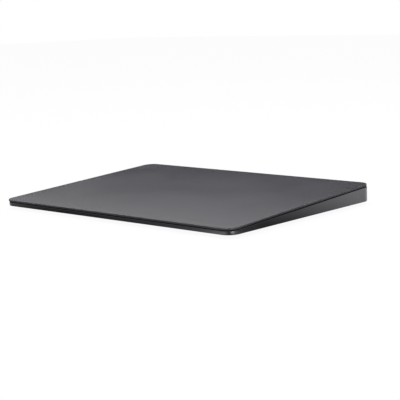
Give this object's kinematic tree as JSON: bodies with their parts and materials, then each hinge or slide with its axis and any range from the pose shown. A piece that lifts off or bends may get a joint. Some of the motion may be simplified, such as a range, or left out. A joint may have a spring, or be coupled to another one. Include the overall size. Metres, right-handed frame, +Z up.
{
  "type": "trackpad",
  "caption": "Flat wireless trackpad: a grey glass touch plate on sprung flexures over a wedge-shaped metal housing with a rear charging port and power switch.",
  "frame": {"origin": "on the desk surface, under the middle of the footprint", "axes": "+X along the front edge to the user's right, +Y to the rear, towards the higher edge, +Z up"},
  "size_m": [0.16, 0.1149, 0.0109],
  "materials": {
    "touch_glass": "satin",
    "film": "matte",
    "sensor_board": "satin",
    "sheet_steel": "satin",
    "spring_steel": "satin",
    "magnetic_steel": "satin",
    "winding": "satin",
    "housing": "satin",
    "base_cover": "satin",
    "foot": "matte",
    "gel": "satin",
    "battery": "satin",
    "circuit_board": "satin",
    "chip": "satin",
    "capacitor": "satin",
    "connector": "satin",
    "contact": "polished",
    "port_shell": "polished",
    "port_block": "matte",
    "screw": "satin",
    "flat_cable": "satin",
    "switch_body": "matte",
    "knob": "satin",
    "gauge": "satin"
  },
  "bodies": {
    "base": {"flexure_front_left": "spring_steel", "flexure_front_right": "spring_steel", "flexure_rear_left": "spring_steel", "flexure_rear_right": "spring_steel", "strain_gauges": "gauge", "flexure_screws": "screw", "haptic_core": "magnetic_steel", "haptic_coils": "winding", "haptic_bracket": "sheet_steel", "haptic_screws": "screw", "housing": "housing", "base_cover": "base_cover", "cover_adhesive": "film", "foot_front_left": "foot", "foot_front_right": "foot", "foot_rear_left": "foot", "foot_rear_right": "foot", "battery_cell": "battery", "battery_adhesive": "film", "battery_board": "circuit_board", "main_board": "circuit_board", "board_screws": "screw", "processor_chip": "chip", "converter_chip": "chip", "wireless_shield": "sheet_steel", "board_capacitors": "capacitor", "antenna": "contact", "board_connectors": "connector", "charging_port_shell": "port_shell", "charging_port_tongue": "port_block", "port_contacts": "contact", "port_bracket": "sheet_steel", "switch_bracket": "sheet_steel", "strap_screws": "screw", "switch_body": "switch_body", "haptic_cable": "flat_cable", "front_gauge_cable": "flat_cable", "rear_gauge_cable": "flat_cable", "battery_cable": "flat_cable", "port_cable": "flat_cable", "switch_cable": "flat_cable", "sensor_cable": "flat_cable"},
    "flexure_tips": {"gel_pads": "gel"},
    "touch_plate": {"touch_glass": "touch_glass", "glass_adhesive": "film", "touch_sensor_board": "sensor_board", "plate_stiffener": "sheet_steel", "touch_controller": "chip", "plate_connector": "connector", "armature_rail": "magnetic_steel"},
    "switch_slider": {"power_switch_knob": "knob"}
  },
  "joints": [
    {"name": "plate_press", "type": "slide", "parent": "base", "child": "flexure_tips", "axis": [0, 0.0524, -0.9986], "range_m": [0, 0.0002], "stiffness_N_per_m": 20000, "springref_m": -0.0001, "deforming": ["flexure_front_left", "flexure_front_right", "flexure_rear_left", "flexure_rear_right", "sensor_cable"]},
    {"name": "plate_shake", "type": "slide", "parent": "flexure_tips", "child": "touch_plate", "axis": [0, 0.9986, 0.0524], "range_m": [-0.00015, 0.00015], "stiffness_N_per_m": 20000, "deforming": ["sensor_cable"]},
    {"name": "power_switch", "type": "slide", "parent": "base", "child": "switch_slider", "axis": [1, 0, 0], "range_m": [0, 0.0025]}
  ]
}
